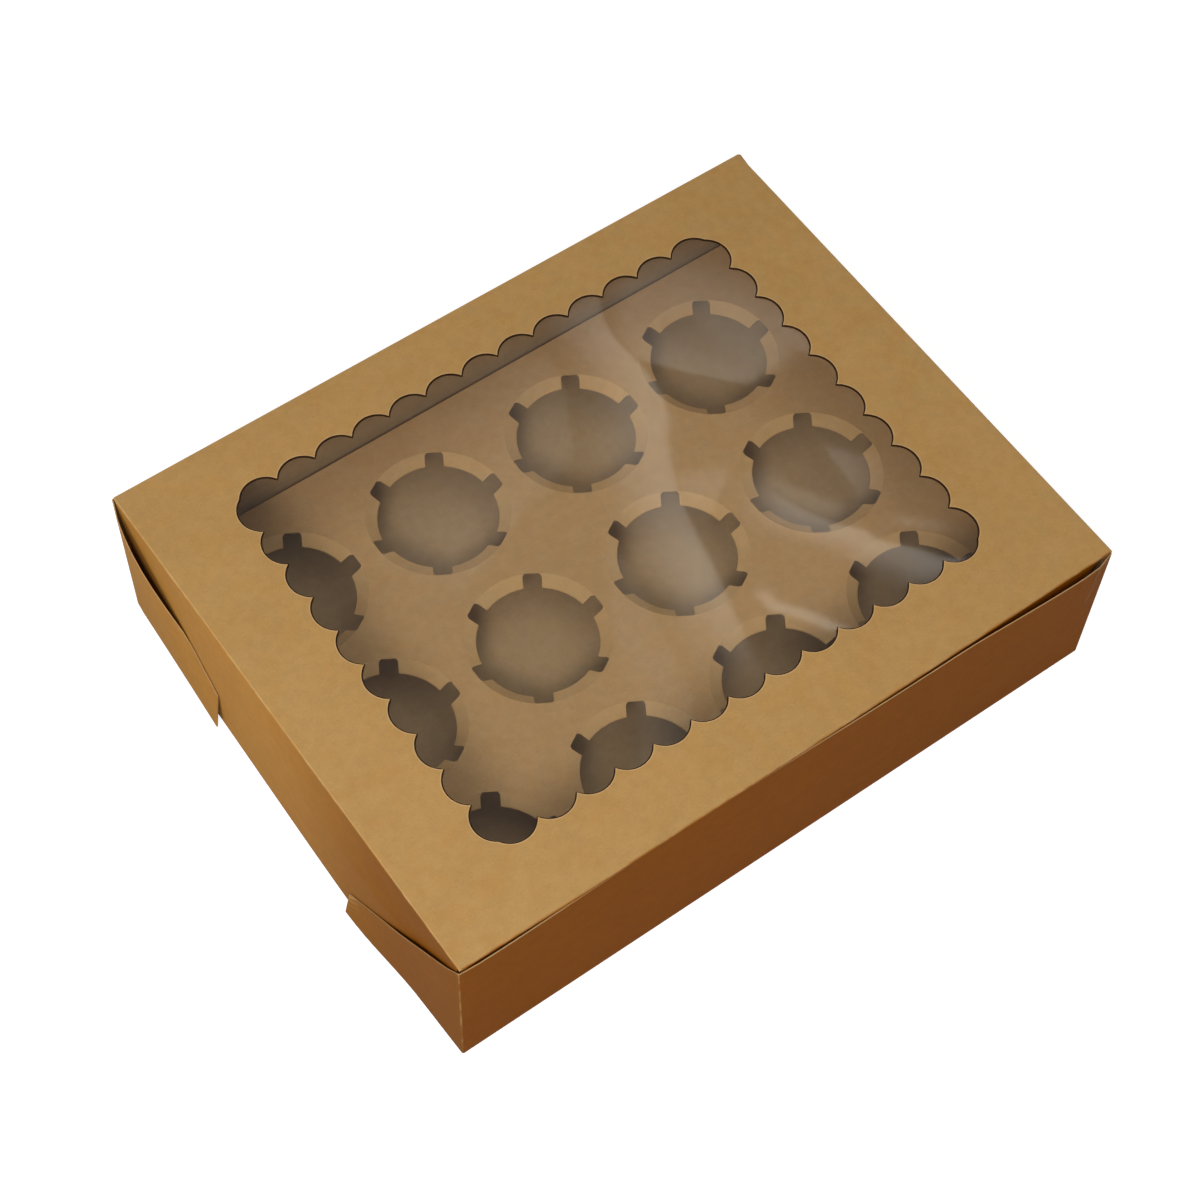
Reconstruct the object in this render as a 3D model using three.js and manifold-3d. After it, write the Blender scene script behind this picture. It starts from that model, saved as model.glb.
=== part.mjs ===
// Cupcake box: a folded kraft-card carton. Its hinged lid has a scalloped window backed by clear
// film, and a folded card insert with notched holes stands inside.
// Millimetres, +Z up. The origin is the centre of the underside. +X runs along the front wall and
// -Y is the front. The box is modelled closed.

import * as THREE from 'three';
import { mergeVertices } from 'three/addons/utils/BufferGeometryUtils.js';
import Module from 'manifold-3d';

const wasm = await Module();
wasm.setup();

// Driving sizes of the box
const LENGTH = 325; // corner fold to corner fold along the front wall
const WIDTH = 255; // front wall to back wall
const HEIGHT = 84; // underside to the lid's top face
const CARD = 0.5; // thickness of the card
const PLAY = 0.3; // play between neighbouring layers of card
const FOLD_RADIUS = 0.9; // outer radius of a crease

// Corner ears, folded round from the front and back walls onto the ends
// (length from the corner fold, height of the free edge, and how far it springs off the side flap)
const FRONT_EAR = { length: 78.7, endHeight: 14, footFlare: 2.8, slack: 1.3 };
const BACK_EAR = { length: 73, endHeight: 23.8, footFlare: 2.8, slack: 3.6 };
const EAR_GAP_SHARE = 0.7; // share of an ear's slanted edge that stands off, from the corner
const EAR_GAP_BIAS = 0.8; // below 1 the gap is widest nearer the corner

// Walls
const FRONT_WALL_DROP = 1.6; // front wall's cut edge below the lid panel
const FRONT_WALL_DIP = { depth: 1.1, reach: 90 }; // that edge lower still at the right corner
const END_WALL_DROP = 1.2; // inner end walls' cut edge below the lid panel
const END_WALL_SHORT = 5; // from an end wall's upright edge to the front or back wall
const FRONT_BULGE_LEFT = { depth: 0.6, reach: 80 }; // front wall pushed out beside each corner
const FRONT_BULGE_RIGHT = { depth: 1.6, reach: 75 };
const FRONT_LEAN = { depth: 1.2, from: -40, to: 70 }; // its right half leans out, between these x
const CORNER_REACH = 10; // the lean dies out this far from the corner
const BACK_BOW = 1.2; // back wall bowed out at mid-height

// Lid
const LID_BACK_PLAY = 0.2; // lid's back edge inside the back wall's outer face
const LID_FRONT_OVERHANG = 0.3; // front crease beyond the front wall's outer face, at mid-length
const LID_PULL_IN_LEFT = { depth: 0.9, reach: 60 }; // front crease drawn in towards the corners
const LID_PULL_IN_RIGHT = { depth: 0.3, reach: 120 };
const TUCK_DEPTH = 20; // front tuck flap
const TUCK_SETBACK = 1.7; // tuck flap's face behind the front crease
const TUCK_CORNER = 12; // slope at each end of the tuck flap
const SIDE_FLAP_FOOT = 0.5; // side flap's lower edge above the table
const SIDE_FLAP_TAPER_TOP = 2; // side flap's edge from the corner, at the top and at the foot
const SIDE_FLAP_TAPER_FOOT = 20;
// The side flaps spring out by a depth that depends on the distance from the lid's hinge line, so
// that they slide past the ears as the lid swings: none up to "start", full from "full" to "hold"
const FLAP_SPRING = { depth: 2.2, start: 50, full: 195, hold: 200, end: 240 };
const FLAP_SPRING_ANGLE = 10; // degrees below the lid at which the spring reaches its full depth

// Window
const WINDOW_END_MARGIN = 42.8; // box end to the line of the scallops' cusps
const WINDOW_FRONT_MARGIN = 36;
const WINDOW_BACK_MARGIN = 30.4;
const SCALLOP_PITCH = 18.6;
const SCALLOP_DEPTH = 5.2;
const FILM_THICKNESS = 0.2;
const FILM_MARGIN = 12; // glued border beyond the scallops
const GLUE = 0.15; // glue line between film and lid

// Insert
const INSERT_HEIGHT = 27; // its top face above the table
const INSERT_END_PLAY = 1.4; // to an end wall
const INSERT_SIDE_PLAY = 2.5; // to the front or back wall
const INSERT_CORNER_NOTCH = 3; // short skirts stop this far from the corners
const HOLE_CREASE_RADIUS = 32; // where the tabs hinge and the notches end
const TAB_LENGTH = 6;
const TAB_BEND = 28; // degrees down from flat
const TAB_BEND_SPREAD = 7; // and its variation from tab to tab
const TABS_PER_HOLE = 6;
const NOTCH_WIDTH = 8.3;
const NOTCH_CORNER = 0.9; // rounding at the notch's blind corners
const HOLE_END_MARGIN = 16; // insert's edge to the outer holes' creases
const HOLE_SIDE_MARGIN = 16.3;
const HOLE_WEB_MIN = 8; // least card between two creases

// Facet counts
const WALL_ROWS = 5;
const EAR_STEPS = 12;
const FLAP_STEPS = 24;
const FOLD_STEPS = 4;
const WALL_STEPS = 40;
const LOBE_STEPS = 10;
const TAB_STEPS = 5;

// Places that follow from the sizes
const halfLength = LENGTH / 2;
const halfWidth = WIDTH / 2;
const wallInsideY = halfWidth - CARD;
const sideFlapOutsideX = halfLength - CARD - PLAY;
const endWallOutsideX = sideFlapOutsideX - CARD - PLAY;
const endWallInsideX = endWallOutsideX - CARD;
const lidUnderside = HEIGHT - CARD;
const backWallTop = lidUnderside - PLAY;
const frontWallTop = lidUnderside - FRONT_WALL_DROP;
const endWallTop = lidUnderside - END_WALL_DROP;
const lidBackY = halfWidth - LID_BACK_PLAY;
const lidFrontY = -(halfWidth + LID_FRONT_OVERHANG);
const hingeZ = lidUnderside - PLAY / 2;
const creaseFoot = HEIGHT - FOLD_RADIUS - CARD; // where the lid's side creases end and its flaps begin
const windowHalfLength = halfLength - WINDOW_END_MARGIN;
const windowFrontY = -halfWidth + WINDOW_FRONT_MARGIN;
const windowBackY = halfWidth - WINDOW_BACK_MARGIN;
const insertHalfLength = endWallInsideX - INSERT_END_PLAY;
const insertHalfWidth = wallInsideY - INSERT_SIDE_PLAY;
const insertFoot = CARD + PLAY;

// Turns a closed mesh given as points and triangles into a solid, facing outwards
function solidFromMesh(points, triangles) {
  let volume = 0;
  for (const [a, b, c] of triangles) {
    volume += points[a].dot(new THREE.Vector3().crossVectors(points[b], points[c]));
  }
  const order = volume < 0 ? triangles.map(([a, b, c]) => [a, c, b]) : triangles;
  return new wasm.Manifold(new wasm.Mesh({
    numProp: 3,
    vertProperties: new Float32Array(points.flatMap((p) => [p.x, p.y, p.z])),
    triVerts: new Uint32Array(order.flat()),
  }));
}

// Turns a closed three.js geometry into a solid
function solidFromGeometry(geometry) {
  const bare = geometry.clone();
  bare.deleteAttribute('normal');
  bare.deleteAttribute('uv');
  const merged = mergeVertices(bare, 1e-4);
  return new wasm.Manifold(new wasm.Mesh({
    numProp: 3,
    vertProperties: new Float32Array(merged.attributes.position.array),
    triVerts: new Uint32Array(merged.index.array),
  }));
}

// Turns a solid back into a three.js geometry
function geometryOf(solid) {
  const mesh = solid.getMesh();
  const geometry = new THREE.BufferGeometry();
  geometry.setAttribute('position', new THREE.BufferAttribute(mesh.vertProperties, 3));
  geometry.setIndex(new THREE.BufferAttribute(mesh.triVerts, 1));
  geometry.computeVertexNormals();
  return geometry;
}

function joined(solids) {
  return solids.reduce((whole, piece) => whole.add(piece));
}

// A sheet with thickness: two grids of points, one for each face, closed round their rims
function sheet(face, back) {
  const columns = face.length;
  const rows = face[0].length;
  const count = columns * rows;
  const points = [...face.flat(), ...back.flat()];
  const triangles = [];
  const quad = (a, b, c, d) => triangles.push([a, b, c], [a, c, d]);
  const at = (i, j) => i * rows + j;
  for (let i = 0; i < columns - 1; i += 1) {
    for (let j = 0; j < rows - 1; j += 1) {
      const [a, b, c, d] = [at(i, j), at(i + 1, j), at(i + 1, j + 1), at(i, j + 1)];
      quad(a, b, c, d);
      quad(a + count, d + count, c + count, b + count);
    }
    const [a, b, c, d] = [at(i, 0), at(i + 1, 0), at(i + 1, rows - 1), at(i, rows - 1)];
    quad(b, a, a + count, b + count);
    quad(d, c, c + count, d + count);
  }
  for (let j = 0; j < rows - 1; j += 1) {
    const [a, b, c, d] = [at(0, j), at(columns - 1, j), at(columns - 1, j + 1), at(0, j + 1)];
    quad(a, d, d + count, a + count);
    quad(c, b, b + count, c + count);
  }
  return solidFromMesh(points, triangles);
}

// A channel of folded card, open at the bottom or top: a floor with two upturned sides.
// The section lies across "half", is extruded by "run" and stands on z = 0.
function channel(half, height, run) {
  const inner = FOLD_RADIUS - CARD;
  const section = new THREE.Shape();
  section.moveTo(-half, height);
  section.lineTo(-half, FOLD_RADIUS);
  section.absarc(-half + FOLD_RADIUS, FOLD_RADIUS, FOLD_RADIUS, Math.PI, Math.PI * 1.5);
  section.absarc(half - FOLD_RADIUS, FOLD_RADIUS, FOLD_RADIUS, Math.PI * 1.5, Math.PI * 2);
  section.lineTo(half, height);
  section.lineTo(half - CARD, height);
  section.absarc(half - FOLD_RADIUS, FOLD_RADIUS, inner, 0, -Math.PI / 2, true);
  section.absarc(-half + FOLD_RADIUS, FOLD_RADIUS, inner, -Math.PI / 2, -Math.PI, true);
  section.lineTo(-half + CARD, height);
  const geometry = new THREE.ExtrudeGeometry(section, {
    depth: run, bevelEnabled: false, curveSegments: FOLD_STEPS,
  });
  geometry.rotateX(Math.PI / 2);
  geometry.translate(0, run / 2, 0);
  return geometry;
}

// A flat plate cut from a plan outline, from z = low to z = high
function plate(outline, low, high) {
  const geometry = new THREE.ExtrudeGeometry(outline, {
    depth: high - low, bevelEnabled: false, curveSegments: LOBE_STEPS,
  });
  geometry.translate(0, 0, low);
  return solidFromGeometry(geometry);
}

function box(low, high) {
  const size = new THREE.Vector3().subVectors(high, low);
  const geometry = new THREE.BoxGeometry(size.x, size.y, size.z);
  geometry.translate(low.x + size.x / 2, low.y + size.y / 2, low.z + size.z / 2);
  return solidFromGeometry(geometry);
}

// A rise and fall over "reach" from a corner, steepest at the corner
function hump(distance, { depth, reach }) {
  const share = Math.min(Math.max(distance / reach, 0), 1);
  return depth * Math.sin(Math.PI * Math.sqrt(share));
}

// A smooth rise from nothing at "reach" to the full depth at the corner
function drawnIn(distance, { depth, reach }) {
  const share = 1 - Math.min(Math.max(distance / reach, 0), 1);
  return depth * share * share * (3 - 2 * share);
}

// How far the ends spring out, at a distance from the lid's hinge line
function endSpring(y, z) {
  const { depth, start, full, hold, end } = FLAP_SPRING;
  const distance = Math.hypot(halfWidth - y, hingeZ - z);
  const rise = THREE.MathUtils.smoothstep(distance, start, full);
  const fall = THREE.MathUtils.smoothstep(distance, hold, end);
  return depth * (rise - fall);
}

// A side flap starts flat below its crease and takes up the full spring lower down
function flapSpring(y, z) {
  const angle = THREE.MathUtils.radToDeg(Math.atan2(hingeZ - z, halfWidth - y));
  return endSpring(y, z) * THREE.MathUtils.smoothstep(angle, 2, FLAP_SPRING_ANGLE);
}

// How far an ear stands out from the box's end, "along" it from the corner and "up" its height.
// Its slanted edge stands off beside the corner and lies on the side flap from there on.
function earSpring(along, up, y, z, { length, footFlare, slack }) {
  const share = along / length;
  const gap = Math.sin(Math.PI * Math.min(share / EAR_GAP_SHARE, 1) ** EAR_GAP_BIAS);
  return endSpring(y, z) + footFlare * share * (1 - up) + slack * up * gap;
}

// One long wall with its two ears, as one folded strip. side is -1 at the front, 1 at the back.
// topAt gives the height of its cut edge along x, and bulge how far it is pushed out.
function wallWithEars(side, topAt, ear, bulge) {
  const stations = [];
  const cornerX = halfLength - FOLD_RADIUS;
  const cornerY = halfWidth - FOLD_RADIUS;
  const earStation = (end, along) => {
    const y = side * (halfWidth - along);
    const cornerTop = topAt(end * cornerX);
    const top = cornerTop + (ear.endHeight - cornerTop) * along / ear.length;
    stations.push({
      x: end * halfLength,
      y,
      outX: end,
      outY: 0,
      top,
      spring: (up) => earSpring(along, up, y, top * up, ear),
    });
  };
  const foldStation = (end, share) => {
    const angle = share * Math.PI / 2;
    const outX = end * Math.cos(angle);
    const outY = side * Math.sin(angle);
    stations.push({
      x: end * cornerX + outX * FOLD_RADIUS,
      y: side * cornerY + outY * FOLD_RADIUS,
      outX,
      outY,
      top: topAt(end * cornerX),
      spring: () => 0,
    });
  };
  for (let i = 0; i < EAR_STEPS; i += 1) {
    earStation(-1, ear.length + (FOLD_RADIUS - ear.length) * i / EAR_STEPS);
  }
  for (let i = 0; i < FOLD_STEPS; i += 1) foldStation(-1, i / FOLD_STEPS);
  for (let i = 0; i <= WALL_STEPS; i += 1) {
    const x = cornerX * (2 * i / WALL_STEPS - 1);
    stations.push({
      x,
      y: side * halfWidth,
      outX: 0,
      outY: side,
      top: topAt(x),
      spring: (up) => bulge(x, up),
    });
  }
  for (let i = FOLD_STEPS - 1; i >= 0; i -= 1) foldStation(1, i / FOLD_STEPS);
  for (let i = EAR_STEPS - 1; i >= 0; i -= 1) {
    earStation(1, ear.length + (FOLD_RADIUS - ear.length) * i / EAR_STEPS);
  }
  const gridAt = (depth) => stations.map((s) => {
    const column = [];
    for (let j = 0; j <= WALL_ROWS; j += 1) {
      const up = j / WALL_ROWS;
      const out = s.spring(up) - depth;
      column.push(new THREE.Vector3(s.x + s.outX * out, s.y + s.outY * out, s.top * up));
    }
    return column;
  });
  return sheet(gridAt(0), gridAt(CARD));
}

function baseTray() {
  const cornerX = halfLength - FOLD_RADIUS;
  const frontBulge = (x, up) => {
    const lean = FRONT_LEAN.depth * THREE.MathUtils.smoothstep(x, FRONT_LEAN.from, FRONT_LEAN.to);
    const left = hump(x + cornerX, FRONT_BULGE_LEFT);
    const right = hump(cornerX - x, FRONT_BULGE_RIGHT);
    const cornerHold = Math.min(1, (cornerX - x) / CORNER_REACH);
    return up ** 1.5 * (left + right + lean * cornerHold);
  };
  const backBow = (x, up) => BACK_BOW * Math.cos(Math.PI / 2 * x / cornerX) * Math.sin(Math.PI * up);
  const frontTop = (x) => frontWallTop - drawnIn(cornerX - x, FRONT_WALL_DIP);
  const front = wallWithEars(-1, frontTop, FRONT_EAR, frontBulge);
  const back = wallWithEars(1, () => backWallTop, BACK_EAR, backBow);
  const endWallRun = 2 * (wallInsideY - END_WALL_SHORT);
  const ends = solidFromGeometry(channel(endWallOutsideX, endWallTop, endWallRun));
  const floorX = endWallOutsideX - FOLD_RADIUS;
  const floorY = halfWidth - CARD / 2;
  const floor = box(new THREE.Vector3(-floorX, -floorY, 0), new THREE.Vector3(floorX, floorY, CARD));
  return joined([front, back, ends, floor]);
}

// One arc of the window's edge, from one cusp to the next round the lobe's centre
function lobe(outline, centre, from, to) {
  const radius = Math.hypot(from.x - centre.x, from.y - centre.y);
  const start = Math.atan2(from.y - centre.y, from.x - centre.x);
  const end = Math.atan2(to.y - centre.y, to.x - centre.x);
  outline.absarc(centre.x, centre.y, radius, start, end, false);
}

// The window's scalloped edge, anticlockwise, with lobes that bulge outwards
function windowOutline(shape) {
  const halfX = windowHalfLength;
  const halfY = (windowBackY - windowFrontY) / 2;
  const middleY = (windowBackY + windowFrontY) / 2;
  const lobesX = Math.max(2, Math.round(2 * halfX / SCALLOP_PITCH));
  const lobesY = Math.max(2, Math.round(2 * halfY / SCALLOP_PITCH));
  const pitchX = 2 * halfX / lobesX;
  const pitchY = 2 * halfY / lobesY;
  const lobeRadius = (pitch) => ((pitch / 2) ** 2 + SCALLOP_DEPTH ** 2) / (2 * SCALLOP_DEPTH);
  // Each side in its own frame: distance along it from its middle, and distance out from the centre
  const sides = [
    { count: lobesX, pitch: pitchX, out: halfY, turn: (a, o) => new THREE.Vector2(a, -o) },
    { count: lobesY, pitch: pitchY, out: halfX, turn: (a, o) => new THREE.Vector2(o, a) },
    { count: lobesX, pitch: pitchX, out: halfY, turn: (a, o) => new THREE.Vector2(-a, o) },
    { count: lobesY, pitch: pitchY, out: halfX, turn: (a, o) => new THREE.Vector2(-o, -a) },
  ];
  const centreOf = (side, index) => {
    const along = (index - (side.count - 1) / 2) * side.pitch;
    const radius = lobeRadius(side.pitch);
    return { at: side.turn(along, side.out - (radius - SCALLOP_DEPTH)), radius };
  };
  // The outer crossing of the two lobes that meet at a corner
  const cornerCusp = (side, next) => {
    const a = centreOf(side, side.count - 1);
    const b = centreOf(next, 0);
    const apart = new THREE.Vector2().subVectors(b.at, a.at);
    const distance = apart.length();
    const foot = (distance ** 2 + a.radius ** 2 - b.radius ** 2) / (2 * distance);
    const rise = Math.sqrt(a.radius ** 2 - foot ** 2);
    apart.divideScalar(distance);
    return new THREE.Vector2(
      a.at.x + apart.x * foot + apart.y * rise,
      a.at.y + apart.y * foot - apart.x * rise,
    );
  };
  const corners = sides.map((side, k) => cornerCusp(side, sides[(k + 1) % sides.length]));
  const shift = new THREE.Vector2(0, middleY);
  sides.forEach((side, k) => {
    for (let index = 0; index < side.count; index += 1) {
      const cuspAt = (step) => side.turn((step - side.count / 2) * side.pitch, side.out);
      const from = index === 0 ? corners[(k + 3) % 4].clone() : cuspAt(index);
      const to = index === side.count - 1 ? corners[k].clone() : cuspAt(index + 1);
      const centre = centreOf(side, index).at;
      lobe(shape, centre.add(shift), from.add(shift), to.add(shift));
    }
  });
  return shape;
}

// Where the lid's front crease runs, drawn in a little towards the corners
function frontCreaseY(x) {
  const fromLeft = x + sideFlapOutsideX;
  const fromRight = sideFlapOutsideX - x;
  return lidFrontY + drawnIn(fromLeft, LID_PULL_IN_LEFT) + drawnIn(fromRight, LID_PULL_IN_RIGHT);
}

// The rounded front crease with the tuck flap below it, as one strip along the lid's front
function tuckFlap(creaseHalfLength, lap) {
  const creaseRadius = FOLD_RADIUS + PLAY;
  const flapHalfLength = endWallInsideX - PLAY - FOLD_RADIUS;
  const face = [];
  const back = [];
  for (let i = 0; i <= WALL_STEPS; i += 1) {
    const x = creaseHalfLength * (2 * i / WALL_STEPS - 1);
    const y = frontCreaseY(x);
    const toEnd = Math.max(flapHalfLength - Math.abs(x), 0);
    const depth = 2 * creaseRadius + (TUCK_DEPTH - 2 * creaseRadius) * Math.min(1, toEnd / TUCK_CORNER);
    const profile = [[lap, 0, 0, -1]];
    for (let k = 0; k <= FOLD_STEPS; k += 1) {
      const angle = k / FOLD_STEPS * Math.PI / 2;
      const inset = creaseRadius * (1 - Math.sin(angle));
      const drop = creaseRadius * (1 - Math.cos(angle));
      profile.push([inset, drop, Math.sin(angle), -Math.cos(angle)]);
    }
    profile.push([TUCK_SETBACK, creaseRadius * 1.9, 1, 0]);
    profile.push([TUCK_SETBACK, depth, 1, 0]);
    face.push(profile.map(([inset, drop]) => new THREE.Vector3(x, y + inset, HEIGHT - drop)));
    back.push(profile.map(([inset, drop, inwards, down]) => (
      new THREE.Vector3(x, y + inset + CARD * inwards, HEIGHT - drop + CARD * down)
    )));
  }
  return sheet(face, back);
}

// One side flap below its crease, tapered towards its foot so that the lid can swing
function sideFlap(end) {
  const rise = creaseFoot - SIDE_FLAP_FOOT;
  const shares = Array.from({ length: WALL_ROWS + 1 }, (_, j) => j / WALL_ROWS);
  shares.push(1 + CARD / rise); // laps the crease
  const face = [];
  const back = [];
  for (let i = 0; i <= FLAP_STEPS; i += 1) {
    const faceColumn = [];
    const backColumn = [];
    for (const share of shares) {
      const z = SIDE_FLAP_FOOT + rise * share;
      const taper = SIDE_FLAP_TAPER_FOOT
        + (SIDE_FLAP_TAPER_TOP - SIDE_FLAP_TAPER_FOOT) * Math.min(share, 1);
      const y = (halfWidth - taper) * (2 * i / FLAP_STEPS - 1);
      const x = sideFlapOutsideX + (share < 1 ? flapSpring(y, z) : 0);
      faceColumn.push(new THREE.Vector3(end * x, y, z));
      backColumn.push(new THREE.Vector3(end * (x - CARD), y, z));
    }
    face.push(faceColumn);
    back.push(backColumn);
  }
  return sheet(face, back);
}

function lid() {
  const run = 2 * WIDTH;
  const shell = channel(sideFlapOutsideX, HEIGHT - creaseFoot, run);
  shell.rotateY(Math.PI);
  shell.translate(0, 0, HEIGHT);

  // The plan outline trims the channel at the hinge and behind the front crease
  const creaseHalfLength = sideFlapOutsideX - FOLD_RADIUS;
  const lap = 4;
  const plan = new THREE.Shape();
  plan.moveTo(sideFlapOutsideX + 1, lidBackY);
  plan.lineTo(-sideFlapOutsideX - 1, lidBackY);
  plan.lineTo(-sideFlapOutsideX - 1, frontCreaseY(-creaseHalfLength));
  plan.lineTo(-creaseHalfLength + CARD, frontCreaseY(-creaseHalfLength));
  for (let i = 0; i <= WALL_STEPS; i += 1) {
    const x = (creaseHalfLength - CARD) * (2 * i / WALL_STEPS - 1);
    plan.lineTo(x, frontCreaseY(x) + lap - CARD);
  }
  plan.lineTo(creaseHalfLength - CARD, frontCreaseY(creaseHalfLength));
  plan.lineTo(sideFlapOutsideX + 1, frontCreaseY(creaseHalfLength));

  // The creases of the side flaps stop short of the walls
  const profile = new THREE.Shape();
  const shoulder = lidUnderside;
  profile.moveTo(-halfWidth + SIDE_FLAP_TAPER_TOP, creaseFoot - 1);
  profile.lineTo(halfWidth - SIDE_FLAP_TAPER_TOP, creaseFoot - 1);
  profile.lineTo(halfWidth - SIDE_FLAP_TAPER_TOP, shoulder);
  profile.lineTo(halfWidth, shoulder);
  profile.lineTo(halfWidth, HEIGHT + 1);
  profile.lineTo(-halfWidth, HEIGHT + 1);
  profile.lineTo(-halfWidth, shoulder);
  profile.lineTo(-halfWidth + SIDE_FLAP_TAPER_TOP, shoulder);
  const profileGeometry = new THREE.ExtrudeGeometry(profile, {
    depth: LENGTH, bevelEnabled: false,
  });
  profileGeometry.rotateX(Math.PI / 2);
  profileGeometry.rotateZ(Math.PI / 2);
  profileGeometry.translate(-halfLength, 0, 0);

  const window = plate(windowOutline(new THREE.Shape()), lidUnderside - 1, HEIGHT + 1);
  return solidFromGeometry(shell)
    .intersect(plate(plan, -1, HEIGHT + 1))
    .intersect(solidFromGeometry(profileGeometry))
    .subtract(window)
    .add(tuckFlap(creaseHalfLength, lap))
    .add(sideFlap(-1))
    .add(sideFlap(1));
}

function windowFilm() {
  const top = lidUnderside - GLUE;
  const border = SCALLOP_DEPTH + FILM_MARGIN;
  return box(
    new THREE.Vector3(-windowHalfLength - border, windowFrontY - border, top - FILM_THICKNESS),
    new THREE.Vector3(windowHalfLength + border, windowBackY + border, top),
  );
}

// Hole places along one direction: as many as fit, spread evenly between the outer creases
function holePlaces(halfSize, margin) {
  const creaseSize = 2 * HOLE_CREASE_RADIUS;
  const room = 2 * (halfSize - margin);
  const count = Math.max(1, Math.floor((room + HOLE_WEB_MIN) / (creaseSize + HOLE_WEB_MIN)));
  if (count === 1) return [0];
  const pitch = (room - creaseSize) / (count - 1);
  return Array.from({ length: count }, (_, k) => (k - (count - 1) / 2) * pitch);
}

// Angle from a notch's centre line to its edge, at a radius
function notchHalfAngle(radius, halfNotch) {
  return Math.asin(halfNotch / radius);
}

// Angles of one tab's stations at a radius, where the notches beside it have a half width
function tabAngles(tab, radius, halfNotch) {
  const sector = 2 * Math.PI / TABS_PER_HOLE;
  const edge = notchHalfAngle(radius, halfNotch);
  const angles = [];
  for (let i = 0; i <= TAB_STEPS; i += 1) {
    angles.push(tab * sector + edge + (sector - 2 * edge) * i / TAB_STEPS);
  }
  return angles;
}

// The opening inside the crease: an arc at each tab and a straight end at each notch
function creaseOutline(x, y) {
  const points = [];
  for (let tab = 0; tab < TABS_PER_HOLE; tab += 1) {
    for (const angle of tabAngles(tab, HOLE_CREASE_RADIUS, NOTCH_WIDTH / 2 - NOTCH_CORNER)) {
      points.push(new THREE.Vector2(
        x + HOLE_CREASE_RADIUS * Math.cos(angle),
        y + HOLE_CREASE_RADIUS * Math.sin(angle),
      ));
    }
  }
  return new THREE.Shape(points);
}

// One bent tab. It laps into the card outside the crease and slopes down towards the hole.
function tab(x, y, index, bend) {
  const lap = CARD;
  const halfNotch = NOTCH_WIDTH / 2;
  const slope = new THREE.Vector2(-Math.cos(bend), -Math.sin(bend));
  const rows = [
    { out: lap, length: 0, half: halfNotch - NOTCH_CORNER },
    { out: 0, length: 0, half: halfNotch - NOTCH_CORNER },
    { out: 0, length: NOTCH_CORNER * 1.2, half: halfNotch },
    { out: 0, length: TAB_LENGTH, half: halfNotch },
  ];
  const grid = (depth) => {
    const columns = Array.from({ length: TAB_STEPS + 1 }, () => []);
    for (const row of rows) {
      const bent = row.length > 0;
      const radius = HOLE_CREASE_RADIUS + row.out + slope.x * row.length + (bent ? slope.y * depth : 0);
      const z = INSERT_HEIGHT + slope.y * row.length + (bent ? slope.x * depth : -depth);
      tabAngles(index, radius, row.half).forEach((angle, i) => {
        columns[i].push(new THREE.Vector3(x + radius * Math.cos(angle), y + radius * Math.sin(angle), z));
      });
    }
    return columns;
  };
  return sheet(grid(0), grid(CARD));
}

function insertTray() {
  const depth = INSERT_HEIGHT - insertFoot;
  const longRun = 2 * (insertHalfLength - FOLD_RADIUS);
  const shortRun = 2 * (insertHalfWidth - INSERT_CORNER_NOTCH);
  const long = channel(insertHalfWidth, depth, longRun);
  long.rotateY(Math.PI);
  long.rotateZ(Math.PI / 2);
  long.translate(0, 0, INSERT_HEIGHT);
  const short = channel(insertHalfLength, depth, shortRun);
  short.rotateY(Math.PI);
  short.translate(0, 0, INSERT_HEIGHT);
  let tray = joined([solidFromGeometry(long), solidFromGeometry(short)]);
  let count = 0;
  for (const x of holePlaces(insertHalfLength, HOLE_END_MARGIN)) {
    for (const y of holePlaces(insertHalfWidth, HOLE_SIDE_MARGIN)) {
      tray = tray.subtract(plate(creaseOutline(x, y), INSERT_HEIGHT - 2 * CARD, INSERT_HEIGHT + CARD));
      for (let index = 0; index < TABS_PER_HOLE; index += 1) {
        const bend = TAB_BEND + TAB_BEND_SPREAD * Math.sin(2.4 * count);
        tray = tray.add(tab(x, y, index, THREE.MathUtils.degToRad(bend)));
        count += 1;
      }
    }
  }
  return tray;
}

function piece(name, solid, material) {
  const mesh = new THREE.Mesh(geometryOf(solid), material);
  mesh.name = name;
  return mesh;
}

const kraft = new THREE.MeshStandardMaterial({ color: 0xb08a56, roughness: 0.85, flatShading: true });
const kraftInsert = new THREE.MeshStandardMaterial({ color: 0xa5815a, roughness: 0.85, flatShading: true });
const clearFilm = new THREE.MeshStandardMaterial({
  color: 0xf4f4f2, roughness: 0.08, transparent: true, opacity: 0.25,
});

const cupcakeBox = new THREE.Group();
cupcakeBox.add(piece('base_tray', baseTray(), kraft));
cupcakeBox.add(piece('insert_tray', insertTray(), kraftInsert));

const closedLid = new THREE.Group();
closedLid.add(piece('lid', lid(), kraft));
closedLid.add(piece('window_film', windowFilm(), clearFilm));
cupcakeBox.add(closedLid);

export default cupcakeBox;
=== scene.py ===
"""Looks for a kraft-card cupcake box with a scalloped, film-backed window.

Everything is in metres, in the frame of the CAD model: +X along the front wall, -Y the front.
"""

import math

import bmesh
import bpy
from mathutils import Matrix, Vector, noise

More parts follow.
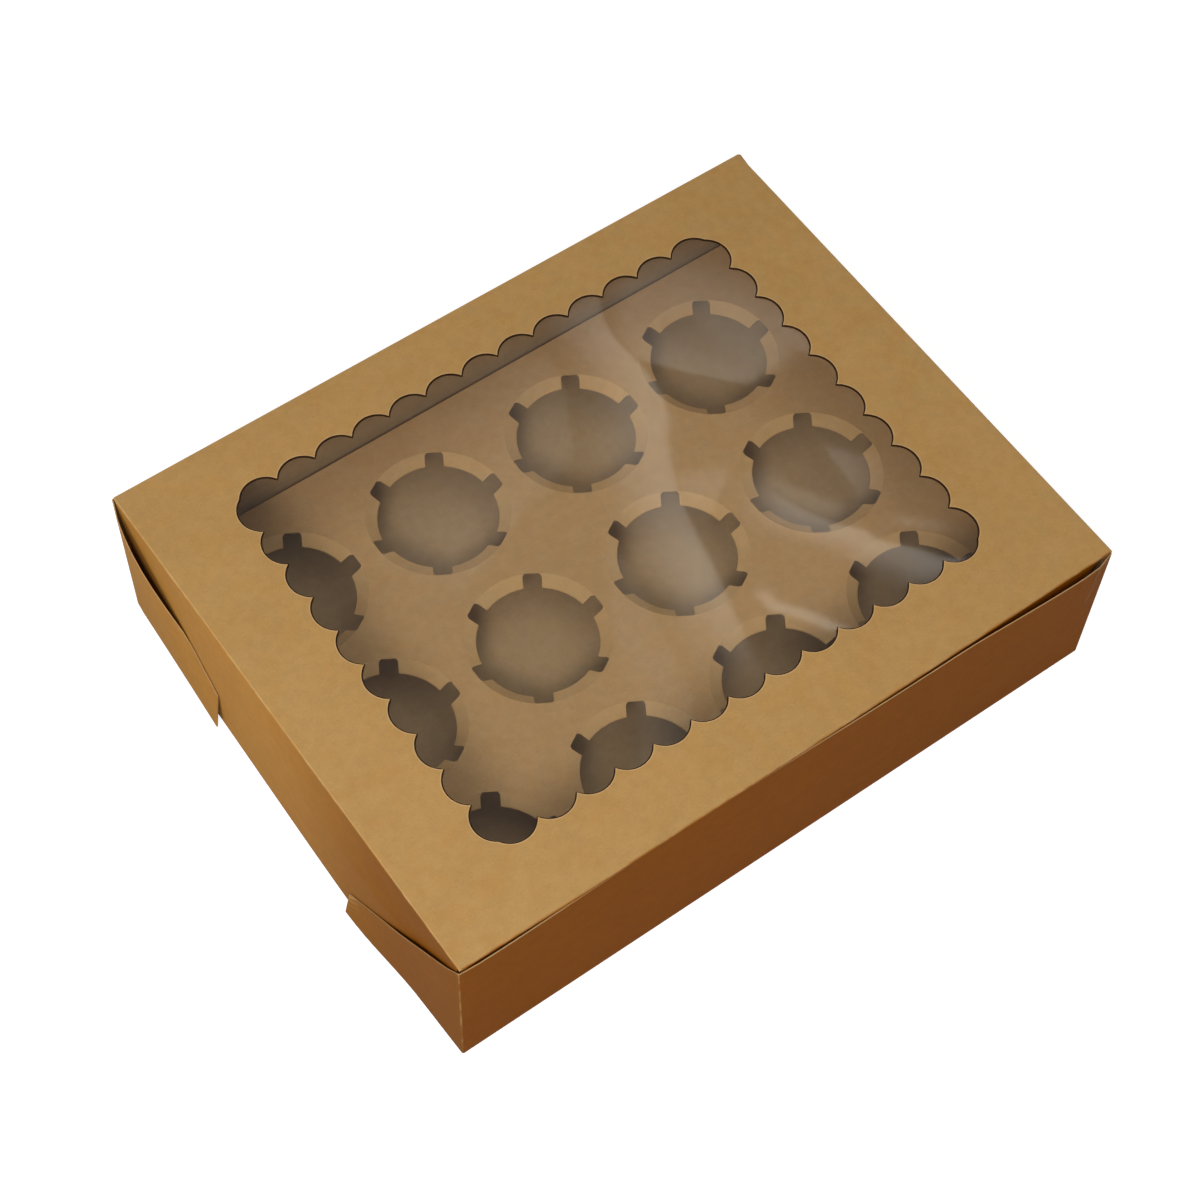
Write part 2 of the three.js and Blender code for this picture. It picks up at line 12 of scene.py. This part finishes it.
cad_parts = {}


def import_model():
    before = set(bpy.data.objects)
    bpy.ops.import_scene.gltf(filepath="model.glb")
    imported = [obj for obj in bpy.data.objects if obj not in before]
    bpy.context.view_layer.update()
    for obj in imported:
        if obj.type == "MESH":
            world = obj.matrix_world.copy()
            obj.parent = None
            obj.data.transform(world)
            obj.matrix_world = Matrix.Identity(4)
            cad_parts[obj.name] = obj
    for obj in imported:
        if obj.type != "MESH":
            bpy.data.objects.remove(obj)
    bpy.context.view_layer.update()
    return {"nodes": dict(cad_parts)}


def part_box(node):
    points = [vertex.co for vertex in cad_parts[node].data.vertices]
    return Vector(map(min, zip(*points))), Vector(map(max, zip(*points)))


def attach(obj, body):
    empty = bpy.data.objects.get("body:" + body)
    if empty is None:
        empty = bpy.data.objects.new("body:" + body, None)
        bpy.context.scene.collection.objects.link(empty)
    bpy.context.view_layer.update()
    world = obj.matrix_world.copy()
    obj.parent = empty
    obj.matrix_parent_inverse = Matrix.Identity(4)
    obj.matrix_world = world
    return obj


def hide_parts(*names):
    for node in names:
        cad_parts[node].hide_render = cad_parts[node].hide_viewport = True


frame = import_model()

MM = 0.001
WHITE = (1, 1, 1, 1)


def linear(red, green, blue):
    """A colour given as 0 to 255 sRGB values, as the linear colour that sockets take."""
    def channel(value):
        value /= 255
        return value / 12.92 if value <= 0.04045 else ((value + 0.055) / 1.055) ** 2.4
    return (channel(red), channel(green), channel(blue), 1.0)


class Nodes:
    """Builds the node tree of one material, light or world."""

    def __init__(self, owner):
        owner.use_nodes = True
        self.tree = owner.node_tree
        self.tree.nodes.clear()

    def add(self, kind, **settings):
        made = self.tree.nodes.new(kind)
        for name, value in settings.items():
            setattr(made, name, value)
        return made

    def put(self, socket, value):
        if isinstance(value, bpy.types.NodeSocket):
            self.tree.links.new(value, socket)
        else:
            socket.default_value = value

    def math(self, operation, *values):
        made = self.add("ShaderNodeMath", operation=operation)
        for socket, value in zip(made.inputs, values):
            self.put(socket, value)
        return made.outputs[0]

    def absolute(self, value):
        return self.math("ABSOLUTE", value)

    def split(self, vector):
        made = self.add("ShaderNodeSeparateXYZ")
        self.put(made.inputs[0], vector)
        return made.outputs

    def coordinates(self, kind):
        return self.add("ShaderNodeTexCoord").outputs[kind]

    def place(self):
        """Where the point is: x, y and z."""
        return self.split(self.coordinates("Object"))

    def facing(self):
        """Which way the surface faces: along x, across in y, and up in z."""
        return self.split(self.coordinates("Normal"))

    def ramp(self, value, low, high, out_low=0.0, out_high=1.0):
        """Maps low..high smoothly to out_low..out_high."""
        made = self.add("ShaderNodeMapRange", interpolation_type="SMOOTHSTEP")
        for name, given in zip(("Value", "From Min", "From Max", "To Min", "To Max"),
                               (value, low, high, out_low, out_high)):
            self.put(made.inputs[name], given)
        return made.outputs["Result"]

    def mix(self, share, a, b, blend="MIX"):
        made = self.add("ShaderNodeMix", data_type="RGBA", blend_type=blend)
        self.put(made.inputs["Factor"], share)
        self.put(made.inputs["A"], a)
        self.put(made.inputs["B"], b)
        return made.outputs["Result"]

    def noise(self, scale, detail, roughness, stretch=(1, 1, 1), turn=(0, 0, 0)):
        mapping = self.add("ShaderNodeMapping")
        self.put(mapping.inputs["Vector"], self.coordinates("Object"))
        mapping.inputs["Scale"].default_value = stretch
        mapping.inputs["Rotation"].default_value = [math.radians(a) for a in turn]
        made = self.add("ShaderNodeTexNoise")
        self.put(made.inputs["Vector"], mapping.outputs["Vector"])
        made.inputs["Scale"].default_value = scale
        made.inputs["Detail"].default_value = detail
        made.inputs["Roughness"].default_value = roughness
        return made.outputs["Fac"]

    def patches(self, scale, detail, roughness, counts, gives):
        """Noise whose range that counts is mapped to the range that it gives."""
        return self.ramp(self.noise(scale, detail, roughness), *counts, *gives)

    def join(self, kind, first, second, share=None):
        """One shader from two: their sum, or their mix where there is a share for the second."""
        made = self.add(kind)
        inputs = [first, second] if share is None else [share, first, second]
        for socket, value in zip(made.inputs, inputs):
            self.put(socket, value)
        return made.outputs[0]

    def end(self, kind, shader):
        self.put(self.add(kind).inputs["Surface"], shader)


# Colours of the card; some are painted shade and some painted highlights
LID_KRAFT = linear(187, 147, 91)
# Partly painted shade: the ends' and back wall's card, darker and more orange than the lid's
END_SHADE_KRAFT = linear(178, 127, 58)
# Painted shade: the ends' card towards the front
END_FRONT_SHADE_KRAFT = linear(132, 78, 8)
# Painted shade: the front wall and the lid's front crease, darker and browner than the lid's card
FRONT_SHADE_KRAFT = linear(154, 87, 8)
INSIDE_KRAFT = linear(176, 147, 108)
INSERT_KRAFT = linear(198, 159, 109)
# Painted highlight on the insert's bent tabs
TAB_HIGHLIGHT_KRAFT = linear(205, 166, 115)
CUT_EDGE = linear(190, 146, 96)
WORN_CREASE = linear(208, 168, 112)
# Painted shade: the window's cut edge darkened like the gap under it
WINDOW_CUT_SHADE = linear(66, 42, 24)
# Painted highlight: a pale rim round the window's cut
WINDOW_RIM_HIGHLIGHT = linear(204, 166, 116)
# Painted shade: a dark band where there is only the shaded gap between lid and film
GAP_SHADE = linear(52, 36, 24)
WARM_TINT = (1.0, 0.93, 0.8, 1)

# Patches: noise scale, detail and roughness, the noise's range that counts, and what it gives
TINT_PATCHES = (110, 4, 0.5, (0.35, 0.7), (0, 0.6))
WEAR_PATCHES = (90, 3, 0.6, (0.4, 0.65), (0.1, 0.55))
FRAY_PATCHES = (140, 3, 0.6, (0.38, 0.62), (0.2, 0.9))
# Clouds, blotches and grain, whose brightness adds up
MOTTLE = (
    (35, 3, 0.5, (0.3, 0.7), (0.985, 1.025)),
    (230, 2, 0.5, (0.3, 0.7), (-0.03, 0.035)),
    (1000, 2, 0.6, (0.25, 0.75), (-0.035, 0.035)),
)
# Fibres of the card: rotation in degrees, and how much lighter or darker
FIBRES = (
    ((0, 0, 20), -0.09),
    ((0, 0, -52), -0.08),
    ((0, 0, 80), 0.1),
    ((0, 75, 0), -0.08),
)
FIBRE_NOISE = (1300, 1, 0.5)
FIBRE_STRETCH = (0.3, 1.5, 1.5)
FIBRE_SHOWS = (0.66, 0.76)
CARD_ROUGHNESS = 0.78
CARD_SPECULAR = 0.15
BUMP_STRENGTH = 0.12
BUMP_DEPTH = 0.15 * MM

# How squarely a face looks along an axis where it begins to count, and where it counts in full
FOLD_TURN = (0.14, 0.45)  # the product of two axes, highest on a rounded fold
LID_END_TURN = (0.5, 0.9)
LID_FRONT_TURN = (0.3, 0.95)
TRAY_END_TURN = (0.3, 0.9)
TAB_TURN_FROM = (0.6, 0.75)
TAB_TURN_TO = (0.93, 0.98)
HALF_TURN = 0.5

# Places on the box
END_FADE = (-0.1, 0.03)  # y over which the painted shade on an end fades out towards the back
WINDOW_REACH = (0.14, 0.11)  # x and y that the window stays within
EAR_X = 0.1615  # the ears' cut edges lie beyond this x
EAR_Y = 0.1262  # and within this y
TRAY_RIM = 0.01  # an upward face above this is a wall's cut edge
TAB_HEIGHT = 0.02  # tabs lie above this
INWARDS = -0.02  # below this product of place and facing, in metres, a face looks inwards


def crease_wear(nodes):
    """How far the card is rubbed pale: on the rounded folds, in patches."""
    along, across, up = [nodes.absolute(part) for part in nodes.facing()]
    fold = nodes.math("ADD", nodes.math("MULTIPLY", along, across),
                      nodes.math("ADD", nodes.math("MULTIPLY", along, up),
                                 nodes.math("MULTIPLY", across, up)))
    return nodes.math("MULTIPLY", nodes.ramp(fold, *FOLD_TURN), nodes.patches(*WEAR_PATCHES))


def kraft(name, panels, cut_edge=None, edge_colour=CUT_EDGE):
    """Uncoated kraft card: mottled, with short fibres lying every way.

    panels gives the card's colour, and cut_edge the share of edge_colour, from the nodes.
    """
    material = bpy.data.materials.new(name)
    nodes = Nodes(material)
    shade = 0.0
    for layer in MOTTLE:
        shade = nodes.math("ADD", shade, nodes.patches(*layer))
    for turn, strength in FIBRES:
        fibre = nodes.noise(*FIBRE_NOISE, stretch=FIBRE_STRETCH, turn=turn)
        shade = nodes.math("ADD", shade, nodes.ramp(fibre, *FIBRE_SHOWS, 0, strength))
    grey = nodes.add("ShaderNodeCombineColor")
    for socket in grey.inputs:
        nodes.put(socket, shade)
    colour = nodes.mix(nodes.patches(*TINT_PATCHES), panels(nodes), WARM_TINT, "MULTIPLY")
    colour = nodes.mix(1.0, colour, grey.outputs[0], "MULTIPLY")
    colour = nodes.mix(crease_wear(nodes), colour, WORN_CREASE)
    if cut_edge:
        colour = nodes.mix(cut_edge(nodes), colour, edge_colour)
    bump = nodes.add("ShaderNodeBump")
    bump.inputs["Strength"].default_value = BUMP_STRENGTH
    bump.inputs["Distance"].default_value = BUMP_DEPTH
    nodes.put(bump.inputs["Height"], shade)
    shader = nodes.add("ShaderNodeBsdfPrincipled")
    nodes.put(shader.inputs["Base Color"], colour)
    nodes.put(shader.inputs["Normal"], bump.outputs["Normal"])
    shader.inputs["Roughness"].default_value = CARD_ROUGHNESS
    shader.inputs["Specular IOR Level"].default_value = CARD_SPECULAR
    nodes.end("ShaderNodeOutputMaterial", shader.outputs["BSDF"])
    return material


def end_shaded_colour(nodes):
    """The short ends' card, with painted shade: darker and browner towards the front."""
    y = nodes.place()[1]
    return nodes.mix(nodes.ramp(y, *END_FADE), END_FRONT_SHADE_KRAFT, END_SHADE_KRAFT)


def lid_panels(nodes):
    """The lid's top, and its end flaps and front crease, made a little darker with painted shade.
    """
    along, across, _ = nodes.facing()
    end = nodes.ramp(nodes.absolute(along), *LID_END_TURN)
    colour = nodes.mix(end, LID_KRAFT, end_shaded_colour(nodes))
    # The front crease gets the front wall's painted shade
    front = nodes.ramp(nodes.math("MULTIPLY", across, -1.0), *LID_FRONT_TURN)
    return nodes.mix(front, colour, FRONT_SHADE_KRAFT)


def tray_panels(nodes):
    """The tray's ends, its front and back walls and its paler inside; the ends and walls carry
    painted shade.
    """
    x, y, _ = nodes.place()
    along, across, up = nodes.facing()
    end = nodes.ramp(nodes.absolute(along), *TRAY_END_TURN)
    # The front wall is painted darker with painted shade; the back wall takes the ends' colour
    wall = nodes.mix(nodes.math("GREATER_THAN", y, 0), FRONT_SHADE_KRAFT, END_SHADE_KRAFT)
    colour = nodes.mix(end, wall, end_shaded_colour(nodes))
    # A panel looks inwards where its normal points back towards the middle of the box
    inwards = nodes.math("ADD", nodes.math("MULTIPLY", x, along), nodes.math("MULTIPLY", y, across))
    inside = nodes.math("MAXIMUM", nodes.math("LESS_THAN", inwards, INWARDS),
                        nodes.math("GREATER_THAN", up, HALF_TURN))
    return nodes.mix(inside, colour, INSIDE_KRAFT)


def insert_panels(nodes):
    """The insert, with a painted highlight on the bent tabs round its holes, paler than its top."""
    z = nodes.place()[2]
    up = nodes.facing()[2]
    sloping = nodes.math("MULTIPLY", nodes.ramp(up, *TAB_TURN_FROM),
                         nodes.ramp(up, *TAB_TURN_TO, 1, 0))
    # Painted highlight where the tabs slope down
    tab_highlight = nodes.math("MULTIPLY", sloping, nodes.math("GREATER_THAN", z, TAB_HEIGHT))
    return nodes.mix(tab_highlight, INSERT_KRAFT, TAB_HIGHLIGHT_KRAFT)


def window_edge(nodes):
    """1 on the upright cut edge round the lid's window, where the painted shade goes."""
    upright = nodes.math("LESS_THAN", nodes.absolute(nodes.facing()[2]), HALF_TURN)
    x, y, _ = nodes.place()
    inside = nodes.math("MULTIPLY", *(nodes.math("LESS_THAN", nodes.absolute(part), reach)
                                      for part, reach in zip((x, y), WINDOW_REACH)))
    return nodes.math("MULTIPLY", upright, inside)


def tray_edges(nodes):
    """The share of cut card on the top edges of the walls and on the edges of the ears."""
    x, y, z = nodes.place()
    along, _, up = nodes.facing()
    top = nodes.math("MULTIPLY", nodes.math("GREATER_THAN", up, HALF_TURN),
                     nodes.math("GREATER_THAN", z, TRAY_RIM))
    ear = nodes.math("MULTIPLY", nodes.math("LESS_THAN", nodes.absolute(along), HALF_TURN),
                     nodes.math("LESS_THAN", nodes.absolute(y), EAR_Y))
    ear = nodes.math("MULTIPLY", ear, nodes.math("GREATER_THAN", nodes.absolute(x), EAR_X))
    return nodes.math("MULTIPLY", nodes.math("MAXIMUM", top, ear), nodes.patches(*FRAY_PATCHES))


def dress(name, material):
    for slot in frame["nodes"][name].material_slots:
        slot.material = material


# The window's cut edge is painted dark, as painted shade
dress("lid", kraft("lid_kraft", lid_panels, cut_edge=window_edge, edge_colour=WINDOW_CUT_SHADE))
dress("base_tray", kraft("tray_kraft", tray_panels, cut_edge=tray_edges))
dress("insert_tray", kraft("insert_kraft", insert_panels))


# Window film
FILM_STEP = 4 * MM
FILM_SAG = 0.7 * MM
FILM_FLAT_BORDER = 14 * MM
FILM_SAG_REACH = 30 * MM  # from the flat border to where it sags in full
FILM_LEVEL, FILM_WAVE, FILM_RIPPLE = 0.5, 0.35, 0.12  # shares of the sag
WAVE_SCALE, WAVE_SHIFT = (9, 6), (3.1, -1.7, 0.4)
WAVE_FRACTAL = (1.0, 2.0, 2)  # dimension, lacunarity and octaves
RIPPLE_SLANT, RIPPLE_SCALE = 0.8, 52
WANDER, WANDER_SCALE, WANDER_SHIFT = 4, 7, 2.0  # how the ripples bend
FILM_COLOUR = (0.97, 0.97, 0.965, 1)
FILM_ROUGHNESS = 0.03
# Share of light that the film mirrors: seen squarely, and what a grazing look adds
MIRRORED, MIRRORED_GRAZING, GRAZING_POWER = 0.045, 0.95, 5.0


def film_drop(x, y, inset):
    """How far the film sags from the lid, in broad soft waves that fade out at its glued border."""
    share = min(max(inset / FILM_SAG_REACH, 0), 1)
    place = Vector((x * WAVE_SCALE[0], y * WAVE_SCALE[1], 0)) + Vector(WAVE_SHIFT)
    wave = noise.fractal(place, *WAVE_FRACTAL)
    bend = noise.noise(Vector((x * WANDER_SCALE, y * WANDER_SCALE, WANDER_SHIFT)))
    ripple = math.sin((x * RIPPLE_SLANT + y) * RIPPLE_SCALE + WANDER * bend)
    return FILM_SAG * share * (FILM_LEVEL + FILM_WAVE * wave + FILM_RIPPLE * ripple)


def new_object(name, data):
    made = bpy.data.objects.new(name, data)
    bpy.context.scene.collection.objects.link(made)
    return made


def window_film():
    """A finely divided sheet with the film's outline and thickness."""
    low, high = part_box("window_film")
    columns = round((high[0] - low[0]) / FILM_STEP)
    rows = round((high[1] - low[1]) / FILM_STEP)
    points = []
    for j in range(rows + 1):
        for i in range(columns + 1):
            x = low[0] + (high[0] - low[0]) * i / columns
            y = low[1] + (high[1] - low[1]) * j / rows
            inset = min(x - low[0], high[0] - x, y - low[1], high[1] - y) - FILM_FLAT_BORDER
            points.append((x, y, high[2] - film_drop(x, y, inset)))
    wide = columns + 1
    faces = [(j * wide + i, j * wide + i + 1, (j + 1) * wide + i + 1, (j + 1) * wide + i)
             for j in range(rows) for i in range(columns)]
    mesh = bpy.data.meshes.new("clear_film")
    mesh.from_pydata(points, [], faces)
    mesh.shade_smooth()
    mesh.materials.append(clear_film_material())
    made = new_object("clear_film", mesh)
    solid = made.modifiers.new("thickness", "SOLIDIFY")
    solid.thickness = high[2] - low[2]
    solid.offset = -1
    return made


def clear_film_material():
    material = bpy.data.materials.new("clear_film")
    nodes = Nodes(material)
    weight = nodes.add("ShaderNodeLayerWeight")
    weight.inputs["Blend"].default_value = 0.5
    grazing = nodes.math("POWER", weight.outputs["Facing"], GRAZING_POWER)
    share = nodes.math("MULTIPLY_ADD", grazing, MIRRORED_GRAZING, MIRRORED)
    clear = nodes.add("ShaderNodeBsdfTransparent")
    clear.inputs["Color"].default_value = FILM_COLOUR
    gloss = nodes.add("ShaderNodeBsdfGlossy")
    gloss.inputs["Roughness"].default_value = FILM_ROUGHNESS
    nodes.end("ShaderNodeOutputMaterial",
              nodes.join("ShaderNodeMixShader", clear.outputs[0], gloss.outputs[0], share))
    return material


film = window_film()
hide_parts("window_film")
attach(film, "lid")


# Painted highlight and painted shade along the scallops
HIGHLIGHT_WIDTH = 0.4 * MM
HIGHLIGHT_RISE = 0.02 * MM
HIGHLIGHT_DEPTH = 0.1 * MM
SHADE_SHOWS = 0.65 * MM
SHADE_HIDDEN = 0.5 * MM
SHADE_DEPTH = 0.1 * MM
SAME_POINT = 0.001 * MM
SAME_LEVEL = 0.01 * MM
UPRIGHT = 0.3  # most that an upright face's normal rises


def window_loop():
    """The window's outline on the lid's top, in order: each point with the way into the window."""
    lid = frame["nodes"]["lid"]
    shape = bmesh.new()
    shape.from_mesh(lid.data)
    shape.transform(lid.matrix_world)
    bmesh.ops.remove_doubles(shape, verts=shape.verts, dist=SAME_POINT)
    top = max(vertex.co.z for vertex in shape.verts)
    inwards = {}
    after = {}
    for edge in shape.edges:
        ends = [vertex.co for vertex in edge.verts]
        if any(abs(end.z - top) > SAME_LEVEL or abs(end.x) > WINDOW_REACH[0]
               or abs(end.y) > WINDOW_REACH[1] for end in ends):
            continue
        walls = [face for face in edge.link_faces if abs(face.normal.z) < UPRIGHT]
        if len(edge.link_faces) != 2 or len(walls) != 1:
            continue
        for vertex in edge.verts:
            inwards.setdefault(vertex, Vector()).xy += walls[0].normal.xy
            after.setdefault(vertex, []).append(edge.other_vert(vertex))
    start = next(iter(after))
    loop, before, now = [], None, start
    while now and (now is not start or not loop):
        loop.append((now.co.copy(), inwards[now].normalized()))
        before, now = now, next((other for other in after[now] if other is not before), None)
    shape.free()
    assert len(loop) == len(after), "the window's outline isn't one closed loop"
    return loop


def ribbon(name, loop, outer, inner, height, depth, colour):
    """A closed band along the outline, from outer to inner (towards the window), depth thick."""
    points = []
    for place, way in loop:
        for shift in (outer, inner):
            for level in (height, height - depth):
                points.append((place.x + way.x * shift, place.y + way.y * shift, level))
    count = len(loop)
    faces = []
    for i in range(count):
        a, b = 4 * i, 4 * ((i + 1) % count)
        faces += [(a, b, b + 2, a + 2), (a + 2, b + 2, b + 3, a + 3),
                  (a + 3, b + 3, b + 1, a + 1), (a + 1, b + 1, b, a)]
    mesh = bpy.data.meshes.new(name)
    mesh.from_pydata(points, [], faces)
    shape = bmesh.new()
    shape.from_mesh(mesh)
    bmesh.ops.recalc_face_normals(shape, faces=shape.faces)
    shape.to_mesh(mesh)
    shape.free()
    mesh.materials.append(kraft(name, lambda nodes: colour))
    made = new_object(name, mesh)
    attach(made, "lid")


def scallop_highlight_and_shade():
    """A thin pale band of painted highlight round the window's cut, and a dark band of painted
    shade in the gap under it.
    """
    loop = window_loop()
    lid_top = loop[0][0].z
    film_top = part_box("window_film")[1][2]
    # A thin sheet on the lid's top, carrying the painted highlight
    ribbon("scallop_rim_highlight", loop, -HIGHLIGHT_WIDTH, 0, lid_top + HIGHLIGHT_RISE, HIGHLIGHT_DEPTH, WINDOW_RIM_HIGHLIGHT)
    # A dark band on the film under the lid's edge, as painted shade of the gap
    ribbon("scallop_gap_shade", loop, -SHADE_HIDDEN, SHADE_SHOWS, film_top + SHADE_DEPTH, SHADE_DEPTH,
           GAP_SHADE)


scallop_highlight_and_shade()


# Floor and surroundings
FLOOR_SIZE = 12
FLOOR_DROP = 0.2 * MM
FLOOR_COLOUR = (0.4, 0.4, 0.4, 1)
FLOOR_GLOW = (0.84, 1.0)  # near the box, and far away
FLOOR_FADE = (0.4, 2.2)  # distances over which it changes
AMBIENT = 0.08
GLOSSY_SURROUND = 0.27
WARM_LIGHT = (1.0, 0.96, 0.88)

# Small panels that the film mirrors as pale streaks: middle, length and width, turn, brightness,
# and the shares of the width over which they fade in on either side
PANEL_HEIGHT = 1.0
PANEL_END_FADE = 0.25
PANELS = (
    ((0.404, 0.479), (0.44, 0.07), 73, 1.3, (0.08, 0.9)),
    ((0.561, 0.58), (0.2, 0.14), -35, 0.85, (0.06, 0.9)),
    ((0.515, 0.328), (0.24, 0.05), -58, 1.5, (0.8, 0.1)),
    ((0.438, 0.306), (0.09, 0.014), -57, 1.8, (0.5, 0.3)),
    ((0.47, 0.40), (0.2, 0.06), -40, 0.7, (0.9, 0.08)),
    ((0.30, 0.56), (0.3, 0.12), 20, 0.35, (0.1, 0.8)),
    ((0.33, 0.33), (0.3, 0.1), 60, 0.3, (0.8, 0.1)),
)

# Lamps aimed at the box, that nothing mirrors: place, length and width, and power
LAMP_AIM = Vector((0, 0, 0.05))
LAMPS = {
    "overhead": ((-0.08, -0.2, 1.1), (1.3, 1.3), 6.2),
    "back_right": ((1.1, 1.2, 0.22), (0.8, 0.4), 8),
    "front_left": ((-0.66, -0.62, 1.0), (0.35, 0.35), 7.2),
    "left_side": ((-0.5, 0.02, 0.16), (0.2, 0.2), 0.5),
}

# Camera, from the photograph's perspective
CAMERA_PLACE = (-0.35176, -0.44255, 0.98473)
CAMERA_TURN = (30.3867, -1.4748, -35.6047)
CAMERA_LENS = 77.565
SENSOR = 36.0


def floor():
    """A matt floor that looks white, whatever light falls on it."""
    bpy.ops.mesh.primitive_plane_add(size=FLOOR_SIZE, location=(0, 0, -FLOOR_DROP))
    plane = bpy.context.object
    plane.name = "floor"
    material = bpy.data.materials.new("floor")
    nodes = Nodes(material)
    diffuse = nodes.add("ShaderNodeBsdfDiffuse")
    diffuse.inputs["Color"].default_value = FLOOR_COLOUR
    glow = nodes.add("ShaderNodeEmission")
    glow.inputs["Color"].default_value = WHITE
    path = nodes.add("ShaderNodeLightPath")
    seen = nodes.math("MAXIMUM", path.outputs["Is Camera Ray"], path.outputs["Is Glossy Ray"])
    seen = nodes.math("MAXIMUM", seen, path.outputs["Is Transmission Ray"])
    x, y, _ = nodes.place()
    away = nodes.math("SQRT", nodes.math("ADD", nodes.math("MULTIPLY", x, x),
                                         nodes.math("MULTIPLY", y, y)))
    level = nodes.ramp(away, *FLOOR_FADE, *FLOOR_GLOW)
    nodes.put(glow.inputs["Strength"], nodes.math("MULTIPLY", seen, level))
    nodes.end("ShaderNodeOutputMaterial",
              nodes.join("ShaderNodeAddShader", diffuse.outputs[0], glow.outputs[0]))
    plane.data.materials.append(material)


def world():
    """Dim surroundings, brighter where they are mirrored, and white where they are seen."""
    made = bpy.data.worlds.new("studio")
    bpy.context.scene.world = made
    nodes = Nodes(made)
    path = nodes.add("ShaderNodeLightPath")
    background = nodes.add("ShaderNodeBackground")
    background.inputs["Strength"].default_value = AMBIENT
    shader = background.outputs[0]
    for ray, strength, tone in (("Is Glossy Ray", GLOSSY_SURROUND, (*WARM_LIGHT, 1)),
                                ("Is Camera Ray", 1.0, WHITE)):
        seen = nodes.add("ShaderNodeBackground")
        seen.inputs["Strength"].default_value = strength
        seen.inputs["Color"].default_value = tone
        shader = nodes.join("ShaderNodeMixShader", shader, seen.outputs[0], path.outputs[ray])
    nodes.end("ShaderNodeOutputWorld", shader)


def area_light(name, place, size, power):
    data = bpy.data.lights.new(name, "AREA")
    data.shape = "RECTANGLE"
    data.size, data.size_y = size
    data.energy = power
    light = new_object(name, data)
    light.location = place
    light.visible_camera = False
    return light


def fade_panel(data, near_fade, far_fade):
    """Lets a panel's light fade towards its long sides and its ends."""
    nodes = Nodes(data)
    glow = nodes.add("ShaderNodeEmission")
    along, across, _ = nodes.split(nodes.add("ShaderNodeNewGeometry").outputs["Parametric"])
    level = nodes.math("MULTIPLY", nodes.ramp(across, 0, near_fade),
                       nodes.ramp(across, 1 - far_fade, 1, 1, 0))
    ends = nodes.math("MULTIPLY", nodes.ramp(along, 0, PANEL_END_FADE),
                      nodes.ramp(along, 1 - PANEL_END_FADE, 1, 1, 0))
    nodes.put(glow.inputs["Strength"], nodes.math("MULTIPLY", level, ends))
    nodes.end("ShaderNodeOutputLight", glow.outputs[0])


def lights():
    for name, (place, size, power) in LAMPS.items():
        lamp = area_light(name, place, size, power)
        lamp.rotation_euler = (LAMP_AIM - Vector(place)).to_track_quat("-Z", "Y").to_euler()
        lamp.visible_glossy = False
    for number, (middle, size, turn, brightness, fades) in enumerate(PANELS, 1):
        power = brightness * math.pi * size[0] * size[1]
        panel = area_light(f"panel_{number}", (*middle, PANEL_HEIGHT), size, power)
        panel.rotation_euler = (0, 0, math.radians(turn))
        panel.data.color = WARM_LIGHT
        fade_panel(panel.data, *fades)


def camera():
    data = bpy.data.cameras.new("camera")
    data.sensor_width = SENSOR
    data.lens = CAMERA_LENS
    made = new_object("camera", data)
    made.location = CAMERA_PLACE
    made.rotation_euler = [math.radians(a) for a in CAMERA_TURN]
    bpy.context.scene.camera = made


floor()
world()
lights()
camera()
bpy.context.scene.view_settings.view_transform = "Standard"
